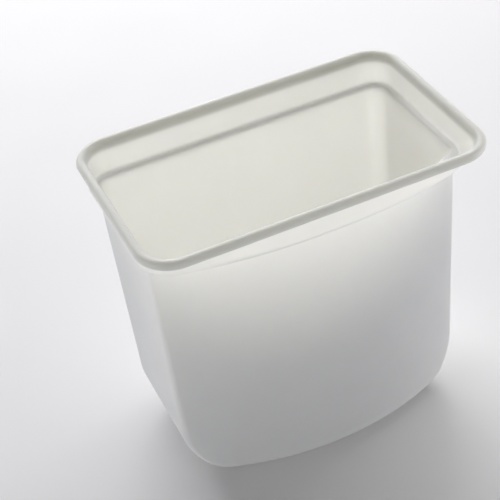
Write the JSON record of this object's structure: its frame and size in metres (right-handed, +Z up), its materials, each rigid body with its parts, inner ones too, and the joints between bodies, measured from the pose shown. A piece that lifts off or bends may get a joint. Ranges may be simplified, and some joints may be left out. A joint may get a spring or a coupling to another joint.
{
  "type": "storage bin",
  "caption": "Deep translucent plastic storage bin with a bowed front, flat back, rounded base, stepped collar and a round lip, for holding food upright in a fridge.",
  "frame": {"origin": "on the floor, under the middle of the rim", "axes": "+Z up, +X along the long side of the mouth, -Y towards the bowed front and +Y towards the flat back"},
  "size_m": [0.25, 0.16, 0.235],
  "materials": {
    "bin_plastic": "translucent satin, natural white polypropylene"
  },
  "bodies": {
    "root": {"bin_shell": "bin_plastic"}
  },
  "joints": []
}
